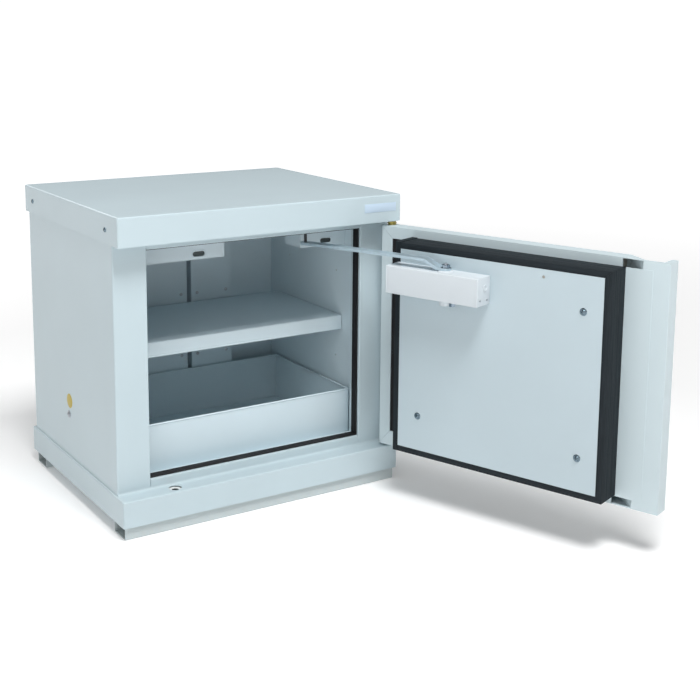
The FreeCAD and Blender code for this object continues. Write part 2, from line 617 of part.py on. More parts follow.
def build_plug():
    """Insulating block on the inside of the door, wrapped in four dark strips, with a white panel."""
    inner_s = ("plug_start + strip", "plug_end - strip")
    inner_z = ("plug_bottom + strip", "plug_top - strip")
    door_node("plug_core", door_box("plug_core_closed", inner_s,
                                    ("-sheet", "plug_depth - panel_sheet"), inner_z))
    deep = ("0", "plug_depth")
    left = door_box("strip_hinge", ("plug_start", "plug_start + strip"), deep,
                    ("plug_bottom", "plug_top + 1.5"))
    right = door_box("strip_free", ("plug_end - strip", "plug_end"), deep, ("plug_bottom", "plug_top"))
    top = door_box("strip_top", inner_s, deep, ("plug_top - strip", "plug_top"))
    bottom = door_box("strip_bottom", inner_s, deep, ("plug_bottom", "plug_bottom + strip"))
    door_node("plug_strips", group("plug_strips_closed", [left, right, top, bottom]))
    seal = door_box("side_seal", ("collarside + 1", "plug_start - 3"), ("-sheet", "0"),
                    ("door_bottom + collarbottom + 1", "door_top - collartop - 1"))
    door_node("hinge_side_seal", seal)
    panel = door_box("panel_plate", inner_s, ("plug_depth - panel_sheet", "plug_depth"), inner_z)
    hole = rod("panel_hole", "Y", (along("389"), out("plug_depth - 3"), "489"), "3", "6")
    spots = ((468, 438), (130, 437), (130, 179), (467, 172.5))
    bores = [rod("screw_bore", "Y", (along(s), out("plug_depth - panel_sheet - 1"), str(z)), "2", "4")
             for s, z in spots]
    door_node("plug_panel", cut("plug_panel_closed", panel, [hole] + bores))
    screws = []
    for s, z in spots:
        place = (along(s), out("plug_depth"), str(z))
        washer = rod("panel_washer", "Y", place, "6.5", "1")
        head = rod("panel_head", "Y", place, "4.2", "3.6")
        shank = rod("panel_shank", "Y", (place[0], out("plug_depth - panel_sheet"), place[2]), "2",
                    "panel_sheet")
        screws.append(join("panel_screw", [washer, head, shank]))
    lower = (screws[0], screws[2], screws[3])
    door_node("panel_screws", group("panel_screws_closed", list(lower)))


# ---------------------------------------------------------------- lock
def build_lock():
    centre = along("lock_along")
    outer = door_box("case_outer", ("lock_along - 17", "lock_along + 17"), ("-door_thick + sheet", "-5"),
                     ("door_bottom + 8", "lock_z + 20"))
    inner = door_box("case_inner", ("lock_along - 15", "lock_along + 15"), ("-door_thick + 4", "-7"),
                     ("door_bottom + 10", "lock_z + 18"))
    bolt_hole = rod("case_bolt_hole", "Z", (centre, out("lock_out"), "door_bottom"),
                    "lock_bolt / 2 + 0.05", "20")
    plug_hole = rod("case_plug_hole", "Y", (centre, out("-door_thick"), "lock_z"), "8.05", "10")
    door_node("lock_case", cut("lock_case_closed", outer, [inner, bolt_hole, plug_hole]))
    rose = rod("cylinder_rose", "Y", (centre, out("-door_thick - 1.9"), "lock_z"), "11", "1.5")
    barrel = rod("cylinder_barrel", "Y", (centre, out("-door_thick - 0.4"), "lock_z"), "8", "15")
    tail = door_box("cylinder_tail", ("lock_along", "lock_along + 12"),
                    ("-door_thick + 14.6", "-door_thick + 18"), ("lock_z - 3", "lock_z + 3"))
    keyway = door_box("keyway", ("lock_along - 0.8", "lock_along + 0.8"),
                      ("-door_thick - 3", "-door_thick + 4"), ("lock_z - 3.5", "lock_z + 3.5"))
    door_node("lock_cylinder", cut("lock_cylinder_closed", join("cylinder", [rose, barrel, tail]),
                                   [keyway]), "lock_cylinder")
    pin = rod("bolt_pin", "Z", (centre, out("lock_out"), "door_bottom + 1"), "lock_bolt / 2",
              "lock_z - door_bottom - 6")
    door_node("lock_bolt", group("lock_bolt_closed", [pin]), "lock_bolt")


# ---------------------------------------------------------------- door closer
def build_closer():
    s_range = ("closer_start", "closer_end")
    t_range = ("plug_depth", "plug_depth + closer_depth")
    outer = door_box("closer_shell", s_range, t_range, ("closer_bottom", "closer_top"))
    face = size("door_inner") + size("plug_depth")

    def away_from_panel(edge):
        return edge.BoundBox.YMax > face + 1

    soft = rounded("closer_shell_round", outer, 1.6, away_from_panel)
    wall = "2"
    inner = door_box("closer_inside", (f"closer_start + {wall}", f"closer_end - {wall}"),
                     ("plug_depth - 1", f"plug_depth + closer_depth - {wall}"),
                     (f"closer_bottom + {wall}", f"closer_top - {wall}"))
    centre = (along("spindle_along"), out("spindle_out"))
    mouth = rod("closer_mouth", "Z", (*centre, "closer_bottom - 1"), "spindle / 2 + 3.3",
                "closer_top - closer_bottom + 2")
    door_node("closer_cover", cut("closer_cover_closed", soft, [inner, mouth]))

    block = door_box("housing_block", ("closer_start + 8", "closer_end - 8"),
                     ("plug_depth", "plug_depth + 40"), ("closer_bottom + 4", "closer_top - 4"))
    bore = rod("housing_bore", "X", (along("closer_end - 14"), out("spindle_out"), "closer_mid"), "14",
               "closer_end - closer_start - 28")
    shaft = rod("housing_shaft", "Z", (*centre, "closer_bottom"), "spindle / 2 + 3",
                "closer_top - closer_bottom")
    door_node("closer_housing", cut("closer_housing_closed", block, [bore, shaft]))

    post = rod("spindle_post", "Z", (*centre, "closer_bottom - 9"), "spindle / 2",
               "arm_hub_z - 1 - closer_bottom + 9")
    collar = rod("spindle_collar", "Z", (*centre, "closer_bottom + 2"), "spindle / 2 + 2.95", "6")
    top_collar = rod("spindle_top_collar", "Z", (*centre, "closer_top - 8"), "spindle / 2 + 2.95", "9")
    nut = rod("spindle_nut", "Z", (*centre, "closer_bottom - 9"), "8", "7")
    tip = rod("spindle_tip", "Z", (*centre, "arm_hub_z - 1"), "3", "arm_thick + 1")
    cap = rod("spindle_cap", "Z", (*centre, "arm_hub_z + arm_thick"), "6.5", "4")
    stud = rod("spindle_stud", "Z", (*centre, "arm_hub_z + arm_thick + 4"), "3.5", "4")
    pieces = [post, collar, top_collar, nut, tip, cap, stud]
    door_node("closer_spindle", join("closer_spindle_closed", pieces), "closer_arm")

    barrel = rod("piston_barrel", "X", (along("233"), out("spindle_out"), "closer_mid"), "13.95", "84")
    window = door_box("piston_window", ("167", "213"), ("spindle_out - 9", "spindle_out + 9"),
                      ("closer_mid - 20", "closer_mid + 20"))
    door_node("closer_piston", cut("closer_piston_closed", barrel, [window]), "closer_piston")

    coil_height, coils = 48.0, 7
    pitch = coil_height / coils
    helix = Part.makeHelix(pitch, coil_height, 10.5)
    wire = Part.Wire(helix.Edges)
    ring = Part.Wire(Part.makeCircle(1.25, V(10.5, 0, 0), V(0, 1, pitch / (2 * math.pi * 10.5))))
    coil = wire.makePipeShell([ring], True, True)
    spring = doc.addObject("Part::Feature", "spring_closed")
    spring.Shape = coil
    mid = (size("closer_bottom") + size("closer_top")) / 2
    spring.Placement = FreeCAD.Placement(
        V(size("door_right") - 98 - 1.25 - coil_height, size("door_inner") + size("spindle_out"), mid),
        TURNS["X"])
    door_node("closer_spring", group("closer_spring_group", [spring]))


def build_arm():
    """Flat arm with a joggle near the spindle, and an upright roller at its far end."""
    half = "arm_width / 2"
    rise = [("-arm_width / 2", "arm_hub_z"), ("16", "arm_hub_z"), ("44", "arm_z"),
            (f"arm_reach + {half}", "arm_z"), (f"arm_reach + {half}", "arm_z + arm_thick"),
            ("41", "arm_z + arm_thick"), ("13", "arm_hub_z + arm_thick"),
            ("-arm_width / 2", "arm_hub_z + arm_thick")]
    strap = profile_body("arm_strap", "XZ", rise, f"-{half}", "arm_width")
    bar = box("arm_plan_bar", ("0", "arm_reach"), (f"-{half}", half), ("0", "600"))
    ends = [rod("arm_plan_end", "Z", (x, "0", "0"), half, "600") for x in ("0", "arm_reach")]
    blade = common("arm_blade", strap, join("arm_plan", [bar] + ends))
    hub = rod("arm_hub", "Z", ("0", "0", "arm_hub_z - 1"), "9.4", "1")
    bore = rod("arm_bore", "Z", ("0", "0", "arm_hub_z - 2"), "3", "12")
    arm = cut("arm_drilled", join("arm_with_hub", [blade, hub]), [bore])
    roller = join("roller_one", [
        rod("roller_pin", "Z", ("arm_reach", "0", "arm_z + arm_thick"), "3", "28"),
        rod("roller_wheel", "Z", ("arm_reach", "0", "arm_z + arm_thick + 22"), "5", "6")])
    spindle = V(size("door_right") - size("spindle_along"), size("door_inner") + size("spindle_out"), 0)
    turned = FreeCAD.Placement(spindle, FreeCAD.Rotation(V(0, 0, 1), size("arm_angle")))
    for name, thing in (("closer_arm", arm), ("arm_roller", roller)):
        holder = group(f"{name}_closed", [thing])
        holder.Placement = turned
        door_node(name, holder, "closer_arm")


hinge = V(size("hinge_x"), size("hinge_y"), 0)
swing = FreeCAD.Placement(V(), FreeCAD.Rotation(V(0, 0, 1), size("door_angle")), hinge)


def door_node(name, closed, body="door"):
    """Node of the door: the piece as drawn closed, swung open about the hinge axis."""
    opened = group(name, [closed])
    opened.Placement = swing
    return node(name, opened, body)


build_cover()
build_base()
build_feet()
build_casing()
build_frame()
build_seals()
build_insulation()
build_liner()
build_shelf()
build_sump()
build_vents()
build_ducts()
build_guide()
build_earth_point()
build_hinge_pins()
build_door_leaf()
build_inner_flanges()
build_grip()
build_plug()
build_lock()
build_closer()
build_arm()

# ---------------------------------------------------------------- check and write
doc.recompute()
for thing in doc.Objects:
    if "Invalid" in thing.State or "Error" in thing.State:
        raise RuntimeError(f"{thing.Name} failed: {thing.State}")
for name, (thing, body) in nodes.items():
    shape = thing.Shape
    if shape.isNull() or not shape.isValid() or not shape.Solids:
        raise RuntimeError(f"{name} has no valid solid")

os.makedirs("parts", exist_ok=True)
for name, (thing, body) in nodes.items():
    thing.Shape.exportStep(f"parts/{name}.step")
print(len(nodes), "nodes written")
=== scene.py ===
"""Looks of the bench-top safety cabinet: powder-coated sheet, dark fire strips, zinc and brass."""
import json
import math

import bmesh
import bpy
from mathutils import Matrix, Vector


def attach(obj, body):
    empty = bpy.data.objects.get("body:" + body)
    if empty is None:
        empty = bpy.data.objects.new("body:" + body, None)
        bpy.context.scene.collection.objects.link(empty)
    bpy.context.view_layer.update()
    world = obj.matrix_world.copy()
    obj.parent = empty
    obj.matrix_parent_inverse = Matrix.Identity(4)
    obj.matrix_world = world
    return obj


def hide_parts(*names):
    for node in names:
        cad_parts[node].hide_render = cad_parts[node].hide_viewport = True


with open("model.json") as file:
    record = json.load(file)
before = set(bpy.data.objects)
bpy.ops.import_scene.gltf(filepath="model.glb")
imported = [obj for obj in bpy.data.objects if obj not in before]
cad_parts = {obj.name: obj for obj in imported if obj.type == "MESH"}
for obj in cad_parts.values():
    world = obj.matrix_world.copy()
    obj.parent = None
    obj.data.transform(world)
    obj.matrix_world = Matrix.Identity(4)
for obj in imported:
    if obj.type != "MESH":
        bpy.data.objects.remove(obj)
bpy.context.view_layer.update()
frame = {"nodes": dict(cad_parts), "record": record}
nodes = frame["nodes"]
joints = {j["name"]: j for j in frame["record"]["behaviour"]["joints"]}
MM = 0.001


# ---------------------------------------------------------------- materials
class Nodes:
    """Small helper that adds shader nodes to one material and links them."""

    def __init__(self, name):
        self.material = bpy.data.materials.new(name)
        self.material.use_nodes = True
        self.tree = self.material.node_tree
        self.shader = self.tree.nodes["Principled BSDF"]
        self.place = self.add("ShaderNodeTexCoord").outputs["Object"]

    def add(self, kind, **inputs):
        """A new node; each input is a plain value or another node's output."""
        node = self.tree.nodes.new(kind)
        for key, value in inputs.items():
            self.feed(node.inputs[key.replace("_", " ")], value)
        return node

    def feed(self, socket, value):
        if hasattr(value, "node"):
            self.tree.links.new(value, socket)
        else:
            socket.default_value = value

    def noise(self, scale, detail=2.0, stretch=(1, 1, 1), roughness=0.5):
        """Noise in object coordinates, drawn out along an axis where stretch is small."""
        mapped = self.add("ShaderNodeMapping", Vector=self.place, Scale=stretch)
        texture = self.add("ShaderNodeTexNoise", Vector=mapped.outputs["Vector"], Scale=scale,
                           Detail=detail, Roughness=roughness)
        return texture.outputs["Fac"]

    def ramp(self, value, low, high, from_low=0.3, from_high=0.7):
        """Bring the span from_low to from_high to low to high."""
        node = self.add("ShaderNodeMapRange", Value=value)
        for key, number in zip(("From Min", "From Max", "To Min", "To Max"),
                               (from_low, from_high, low, high)):
            node.inputs[key].default_value = number
        return node.outputs["Result"]

    def mix(self, factor, first, second):
        node = self.tree.nodes.new("ShaderNodeMix")
        node.data_type = "RGBA"
        self.feed(node.inputs[0], factor)
        self.feed(node.inputs[6], first)
        self.feed(node.inputs[7], second)
        return node.outputs[2]

    def bump(self, height, distance, normal=None):
        node = self.add("ShaderNodeBump", Height=height, Distance=distance, Strength=1.0)
        if normal is not None:
            self.feed(node.inputs["Normal"], normal)
        return node.outputs["Normal"]

    def set(self, **inputs):
        """Feed the shader's own sockets and hand back the material."""
        for key, value in inputs.items():
            self.feed(self.shader.inputs[key.replace("_", " ")], value)
        return self.material


def rgba(red, green, blue):
    return (red, green, blue, 1.0)


def powder_coat(name, colour, roughness, peel=0.00004):
    """Satin powder coat: a faint drift of tone and an orange-peel surface."""
    m = Nodes(name)
    darker = tuple(c * 0.965 for c in colour)
    tone = m.mix(m.ramp(m.noise(5.0, 3.0), 0.0, 1.0), rgba(*darker), rgba(*colour))
    gloss = m.ramp(m.noise(9.0, 2.0), roughness - 0.015, roughness + 0.015)
    coarse = m.bump(m.noise(420.0, 1.0), peel)
    fine = m.bump(m.noise(1500.0, 1.0), peel * 0.4, normal=coarse)
    return m.set(Base_Color=tone, Roughness=gloss, Normal=fine, Specular_IOR_Level=0.5)


def fire_strip(name, colour, stretch):
    """Extruded intumescent strip: matt graphite with fine draw lines along it."""
    m = Nodes(name)
    lines = m.noise(420.0, 3.0, stretch=stretch, roughness=0.7)
    light = tuple(c * 1.55 for c in colour)
    tone = m.mix(m.ramp(lines, 0.0, 1.0), rgba(*colour), rgba(*light))
    grain = m.bump(m.noise(900.0, 2.0), 0.00006)
    ribs = m.bump(lines, 0.00035, normal=grain)
    return m.set(Base_Color=tone, Roughness=m.ramp(lines, 0.78, 0.62), Normal=ribs,
                 Specular_IOR_Level=0.3)


def zinc(name, colour, roughness=0.34, metallic=1.0):
    """Plated or bare metal: mottled tone, fine scratches."""
    m = Nodes(name)
    blotch = m.noise(90.0, 4.0)
    light = tuple(min(c * 1.18, 1.0) for c in colour)
    tone = m.mix(m.ramp(blotch, 0.0, 1.0), rgba(*colour), rgba(*light))
    scratch = m.noise(700.0, 3.0)
    return m.set(Base_Color=tone, Metallic=metallic,
                 Roughness=m.ramp(blotch, roughness - 0.07, roughness + 0.1),
                 Normal=m.bump(scratch, 0.00004))


def paint(name, material):
    """Give a CAD node its material."""
    mesh = nodes[name].data
    mesh.materials.clear()
    mesh.materials.append(material)


SHEET = powder_coat("sheet_coat", (0.49, 0.59, 0.63), 0.34)
LINER = powder_coat("liner_coat", (0.62, 0.73, 0.78), 0.5)
DOOR = powder_coat("door_coat", (0.57, 0.67, 0.705), 0.36)
PANEL = powder_coat("panel_coat", (0.49, 0.585, 0.63), 0.33, 0.00002)
CLOSER = powder_coat("closer_coat", (0.62, 0.67, 0.705), 0.36)
KEEP = powder_coat("keep_plastic", (0.74, 0.77, 0.77), 0.35, 0.00001)
FOOT = powder_coat("foot_coat", (0.5, 0.56, 0.57), 0.45)
STRIP = fire_strip("strip_upright", (0.007, 0.0115, 0.015), (1, 1, 0.03))
STRIP_LEVEL = fire_strip("strip_level", (0.007, 0.0115, 0.015), (0.03, 1, 1))
SEAL = fire_strip("seal_upright", (0.006, 0.006, 0.007), (1, 1, 0.03))
SEAL_LEVEL = fire_strip("seal_level", (0.006, 0.006, 0.007), (0.03, 1, 1))
YELLOW = powder_coat("yellow_film", (0.46, 0.35, 0.01), 0.35, 0.00001)
PLATE = powder_coat("plate_film", (0.50, 0.62, 0.74), 0.3, 0.00001)
ZINC = zinc("zinc_plate", (0.45, 0.47, 0.50))
# Screw heads: zinc darkened to blue-grey as a painted reflection, standing in for the dark surroundings
# a polished head would mirror.
SCREW_DARK_REFLECTION = zinc("screw_zinc_painted_reflection", (0.17, 0.23, 0.27), roughness=0.16)
ARM = zinc("galvanised_arm", (0.43, 0.54, 0.605), roughness=0.36, metallic=0.55)
ARM_BOLT = zinc("arm_bolt_zinc", (0.26, 0.32, 0.38), roughness=0.24)
# Dark grey of the vent screens and their backing sheets is painted shade: it stands in for the shaded
# inside of each air box seen through its hole.
SCREEN_PAINTED_SHADE = powder_coat("screen_painted_shade", (0.085, 0.11, 0.11), 0.5, 0.00002)
ROLLER = powder_coat("roller_nylon", (0.05, 0.055, 0.06), 0.5, 0.00001)
BRASS = zinc("brass_turned", (0.36, 0.29, 0.09), roughness=0.28)
BOARD = powder_coat("mineral_board", (0.45, 0.42, 0.37), 0.9, 0.0004)

SLOT_FINISH = {"white_sheet": SHEET, "liner_white": LINER, "insulation_board": BOARD,
               "black_seal": SEAL, "foot_white": FOOT, "zinc_steel": ZINC,
               "stile_plate_white": DOOR, "anthracite_strip": STRIP, "panel_white": PANEL,
               "brass_bush": BRASS, "keep_white": KEEP, "closer_white": CLOSER, "closer_alloy": ZINC,
               "galvanised_arm": ARM}
for part in frame["record"]["subparts"]:
    paint(part["node"], SLOT_FINISH[part["material_slot"]])
for name in ("door_skin", "door_inner_flanges", "door_grip_profile", "door_back_sheet"):
    paint(name, DOOR)
paint("arm_roller", ROLLER)


# ---------------------------------------------------------------- mesh building blocks, in millimetres
PIVOT = Vector(joints["door_hinge"]["pos_m"])
OPENING = math.radians(-joints["door_hinge"]["range_deg"][0])
SWING = Matrix.Translation(PIVOT) @ Matrix.Rotation(OPENING, 4, "Z") @ Matrix.Translation(-PIVOT)
X, Y, Z = Vector((1, 0, 0)), Vector((0, 1, 0)), Vector((0, 0, 1))


def span(name, shut=False):
    """Lowest and highest corners of a CAD node; shut gives them with the door swung closed."""
    turn = SWING.inverted() if shut else Matrix()
    places = [turn @ vertex.co / MM for vertex in nodes[name].data.vertices]
    return (Vector(min(p[i] for p in places) for i in range(3)),
            Vector(max(p[i] for p in places) for i in range(3)))


def piece(name, bm, material, body, stands_for=(), shut=False, sharp=34.0):
    """Turn a bmesh into one shown piece; shut pieces are drawn on the closed door and swung open."""
    bmesh.ops.recalc_face_normals(bm, faces=bm.faces)
    mesh = bpy.data.meshes.new(name)
    bm.to_mesh(mesh)
    bm.free()
    mesh.transform(Matrix.Scale(MM, 4))
    mesh.shade_smooth()
    mesh.set_sharp_from_angle(angle=math.radians(sharp))
    mesh.materials.append(material)
    thing = bpy.data.objects.new(name, mesh)
    bpy.context.collection.objects.link(thing)
    if shut:
        thing.matrix_world = SWING
    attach(thing, body)
    if stands_for:
        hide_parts(*stands_for)


def facing(point, direction, turn=0.0):
    """Placement with local Z along a direction, turned about it by some degrees."""
    aim = direction.to_track_quat("Z", "Y").to_matrix().to_4x4()
    return Matrix.Translation(Vector(point)) @ aim @ Matrix.Rotation(math.radians(turn), 4, "Z")


def lathe(profile, segments=48):
    """Surface turned about Z from (radius, height) pairs; a radius of zero closes it."""
    bm = bmesh.new()
    rings = []
    for radius, height in profile:
        steps = [2 * math.pi * i / segments for i in range(segments if radius > 0 else 1)]
        rings.append([bm.verts.new((radius * math.cos(a), radius * math.sin(a), height))
                      for a in steps])
    for low, high in zip(rings, rings[1:]):
        for i in range(segments):
            quad = [low[i % len(low)], low[(i + 1) % len(low)],
                    high[(i + 1) % len(high)], high[i % len(high)]]
            bm.faces.new(list(dict.fromkeys(quad)))
    return bm


def block(low, high, soften=0.0, steps=3):
    """Box between two corners with its edges rounded by soften."""
    bm = bmesh.new()
    bmesh.ops.create_cube(bm, size=1.0)
    low, high = Vector(low), Vector(high)
    bmesh.ops.transform(bm, matrix=Matrix.LocRotScale((low + high) / 2, None, high - low),
                        verts=bm.verts)
    if soften:
        bmesh.ops.bevel(bm, geom=bm.edges[:], offset=soften, segments=steps, affect="EDGES",
                        profile=0.5)
    return bm


def swept(rows, section, loop=False, solid=True):
    """Carry a section of (side, up) pairs through rows of (point, side vector, up vector)."""
    bm = bmesh.new()
    rings = [[bm.verts.new(point + side * u + up * v) for u, v in section]
             for point, side, up in rows]
    pairs = list(zip(rings, rings[1:])) + ([(rings[-1], rings[0])] if loop else [])
    count = len(section)
    for low, high in pairs:
        for i in range(count if solid else count - 1):
            j = (i + 1) % count
            bm.faces.new((low[i], low[j], high[j], high[i]))
    if solid and not loop:
        bm.faces.new(rings[0])
        bm.faces.new(rings[-1])
    return bm


def together(parts):
    """Several bmeshes as one."""
    result = bmesh.new()
    for bm in parts:
        mesh = bpy.data.meshes.new("work")
        bm.to_mesh(mesh)
        bm.free()
        result.from_mesh(mesh)
        bpy.data.meshes.remove(mesh)
    return result


def copies(source, places):
    """The same form set down at several placements, as one bmesh."""
    parts = []
    for place in places:
        part = source.copy()
        bmesh.ops.transform(part, matrix=place, verts=part.verts)
        parts.append(part)
    source.free()
    return together(parts)


def carve(solid, cutter):
    """Cut one closed form out of another."""
    things = []
    for bm in (solid, cutter):
        bmesh.ops.recalc_face_normals(bm, faces=bm.faces)
        mesh = bpy.data.meshes.new("work")
        bm.to_mesh(mesh)
        bm.free()
        things.append(bpy.data.objects.new("work", mesh))
        bpy.context.collection.objects.link(things[-1])
    cut = things[0].modifiers.new("cut", "BOOLEAN")
    cut.operation, cut.solver, cut.object = "DIFFERENCE", "EXACT", things[1]
    graph = bpy.context.evaluated_depsgraph_get()
    result = bmesh.new()
    result.from_mesh(things[0].evaluated_get(graph).to_mesh())
    for thing in things:
        mesh = thing.data
        bpy.data.objects.remove(thing)
        bpy.data.meshes.remove(mesh)
    return result


def cross_head(radius, height, washer=0.0):
    """Pan head with a cross recess, standing on z = 0, with a cupped washer if one is asked for."""
    curve = [(radius * math.cos(a), height * (0.3 + 0.7 * math.sin(a)))
             for a in (math.radians(d) for d in range(0, 90, 15))]
    head = lathe([(0, 0), (radius, 0)] + curve + [(0, height)])
    reach, width, floor = radius * 0.62, radius * 0.13, height * 0.35
    for low, high in (((-reach, -width, floor), (reach, width, height + 1)),
                      ((-width, -reach, floor), (width, reach, height + 1))):
        head = carve(head, block(low, high))
    if not washer:
        return head
    cup = lathe([(radius * 0.9, 0.2), (radius * 1.04, 1.3), (radius * 1.2, 1.4),
                 (washer * 0.9, 0.9), (washer, 0.35), (washer, 0)])
    return together([head, cup])


def hexagon(across, height, bore=0.0):
    """Hexagonal nut or bolt head standing on z = 0, its top corners chamfered."""
    corner = across / math.sqrt(3)
    top = [(corner, 0), (corner, height * 0.86), (corner * 0.86, height)]
    if bore:
        return lathe([(bore, 0)] + top + [(bore + 0.6, height), (bore, height - 0.6), (bore, 0)], 6)
    return lathe([(0, 0)] + top + [(0, height)], 6)


def arc(centre, radius, start, end, steps=8):
    """Points on an arc in section coordinates, between two angles in degrees."""
    turns = [math.radians(start + (end - start) * i / steps) for i in range(steps + 1)]
    return [(centre[0] + radius * math.cos(a), centre[1] + radius * math.sin(a)) for a in turns]


# ---------------------------------------------------------------- strips round the opening and the plug
def strip_side(start, end, inward, section, cut_start=True, cut_end=True, gap=0.25):
    """One straight strip between two corners; cut ends are mitred, the others square."""
    way = (end - start).normalized()
    first = inward + way if cut_start else inward
    last = inward - way if cut_end else inward
    return swept([(start + way * gap, first, Y), (end - way * gap, last, Y)], section)


def corners(low, high, y):
    """The four corners of an upright rectangle at one depth, in order round it."""
    return [Vector((x, y, z)) for x, z in ((low.x, low.z), (high.x, low.z), (high.x, high.z),
                                           (low.x, high.z))]


def ribbed(width, depth, lines, groove=0.55):
    """Section of a moulded strip: softened front edges and a fine groove at each listed place."""
    points = [(0, 0)]
    for line in lines:
        points += [(0, line - groove), (groove, line), (0, line + groove)]
    return points + [(0, depth - 1.0), (0.3, depth - 0.3), (1.0, depth), (width * 0.74, depth),
                     (width * 0.78, depth - 0.5), (width * 0.82, depth), (width - 0.4, depth),
                     (width, depth - 0.4), (width, 0)]


def plug_strips():
    """Dark strips round the plug: square at the hinge side, mitred at the free side."""
    low, high = span("plug_strips", shut=True)
    panel_low, panel_high = span("plug_panel", shut=True)
    width = panel_low.x - low.x
    depth = high.y - low.y
    ends = corners(low, Vector((high.x, high.y, panel_high.z + width)), low.y)
    section = ribbed(width, depth, (depth * 0.34, depth * 0.67))
    level = together([
        strip_side(ends[0], ends[1] - X * width, Z, section, True, False),
        strip_side(ends[2] - X * width, ends[3], -Z, section, False, True)])
    upright = together([
        strip_side(ends[1], Vector((high.x, low.y, high.z)), -X, section, False, False),
        strip_side(ends[3], ends[0], X, section)])
    piece("plug_strip_levels", level, STRIP_LEVEL, "door", ["plug_strips"], True)
    piece("plug_strip_uprights", upright, STRIP, "door", ["plug_strips"], True)


def opening_seals():
    """Flat swelling seal on the four sides of the door opening, with two ribs along it."""
    low, high = span("opening_seals")
    width, proud = high.y - low.y, 2.0
    third = width / 3
    section = [(0, 0), (proud * 0.6, 0), (proud, 0.8), (proud, third - 0.6), (proud * 0.7, third),
               (proud, third + 0.6), (proud, 2 * third - 0.6), (proud * 0.7, 2 * third),
               (proud, 2 * third + 0.6), (proud, width - 0.8), (proud * 0.6, width), (0, width)]
    ends = corners(low, high, low.y)
    inward = (Z, -X, -Z, X)
    sides = [strip_side(ends[i], ends[(i + 1) % 4], inward[i], section) for i in range(4)]
    piece("opening_seal_levels", together(sides[0::2]), SEAL_LEVEL, "cabinet",
          ["opening_seals"])
    piece("opening_seal_uprights", together(sides[1::2]), SEAL, "cabinet",
          ["opening_seals"])


# ---------------------------------------------------------------- screws and small fittings
def groups_of(name, count, axis, shut=False):
    """Box of each of a node's separate solids, found by where its vertices gather."""
    turn = SWING.inverted() if shut else Matrix()
    places = [turn @ vertex.co / MM for vertex in nodes[name].data.vertices]
    heaps = []
    for place in places:
        flat = place.copy()
        flat[axis] = 0
        for heap in heaps:
            if (heap[0] - flat).length < 30 and abs(heap[1] - place[axis]) < 60:
                heap[2].append(place)
                break
        else:
            heaps.append((flat, place[axis], [place]))
    assert len(heaps) == count, (name, len(heaps))
    boxes = []
    for _, _, members in heaps:
        low = Vector(min(p[i] for p in members) for i in range(3))
        high = Vector(max(p[i] for p in members) for i in range(3))
        boxes.append((low, high))
    return boxes


def panel_screws():
    """Cross-recess screws in cupped washers that hold the plug's panel."""
    front = span("plug_panel", shut=True)[1].y
    turns = (18, 52, 77)
    places = []
    for (low, high), turn in zip(groups_of("panel_screws", 3, 1, shut=True), turns):
        middle = (low + high) / 2
        places.append(facing((middle.x, front, middle.z), Y, turn))
    piece("panel_screw_heads", copies(cross_head(4.3, 3.2, 7.0), places), SCREW_DARK_REFLECTION, "door",
          ["panel_screws"], True)


def cover_screws():
    """Pan-head screws through the sides of the cover."""
    low, high = span("top_cover")
    places = []
    for number, (first, last) in enumerate(groups_of("cover_screws", 4, 0)):
        middle = (first + last) / 2
        left = middle.x < 0
        edge = low.x if left else high.x
        places.append(facing((edge, middle.y, middle.z), -X if left else X, 25 + 31 * number))
    piece("cover_screw_heads", copies(cross_head(4.6, 2.5), places), SCREW_DARK_REFLECTION, "cabinet",
          ["cover_screws"])


def earth_point():
    """Earthing screw with a toothed washer on the left side, and the round label above it."""
    low, high = span("earth_screw")
    middle = (low + high) / 2
    wall = span("side_panel_left")[0].x
    plate = lathe([(0, 0), (7.2, 0), (7.2, 0.5), (6.9, 0.8), (0, 0.8)])
    tooth = swept([(Vector((0, 0, 0.8)), X, Z), (Vector((0, 1.3, 0.8)), X, Z)],
                  [(5.6, 0), (7.0, 0), (7.0, 0.7), (5.6, 0.4)])
    crown = copies(tooth, [Matrix.Rotation(math.radians(24 * i), 4, "Z") for i in range(15)])
    head = copies(cross_head(4.2, 2.6), [Matrix.Translation((0, 0, 1.2))])
    nut = copies(hexagon(9.0, 1.2), [Matrix.Translation((0, 0, 0.6))])
    screw = copies(together([plate, crown, nut, head]),
                   [facing((wall, middle.y, middle.z), -X, 12)])
    piece("earth_screw_head", screw, ZINC, "cabinet", ["earth_screw"])
    radius, above = 14.5, 27.5
    label = lathe([(0, 0.35), (radius * 0.82, 0.35), (radius * 0.84, 0.3), (radius - 0.3, 0.3),
                   (radius, 0.1), (radius, 0)])
    piece("earth_label", copies(label, [facing((wall, middle.y - 3, middle.z + above), -X)]),
          YELLOW, "cabinet")


def lock_keep():
    """Moulded ring in the ledge that takes the lock bolt."""
    low, high = span("lock_keep")
    middle = (low + high) / 2
    ledge = span("base_pan")[1].z
    bore, sunk, outer = 6.6, -3.4, (high.x - low.x) / 2
    ring = lathe([(bore, sunk - 1.2), (bore, sunk - 0.3), (bore + 0.5, sunk), (outer - 0.4, sunk),
                  (outer, sunk - 0.4), (outer, sunk - 1.2), (bore, sunk - 1.2)])
    piece("lock_keep_ring", copies(ring, [Matrix.Translation((middle.x, middle.y, ledge))]), KEEP,
          "cabinet", ["lock_keep"])


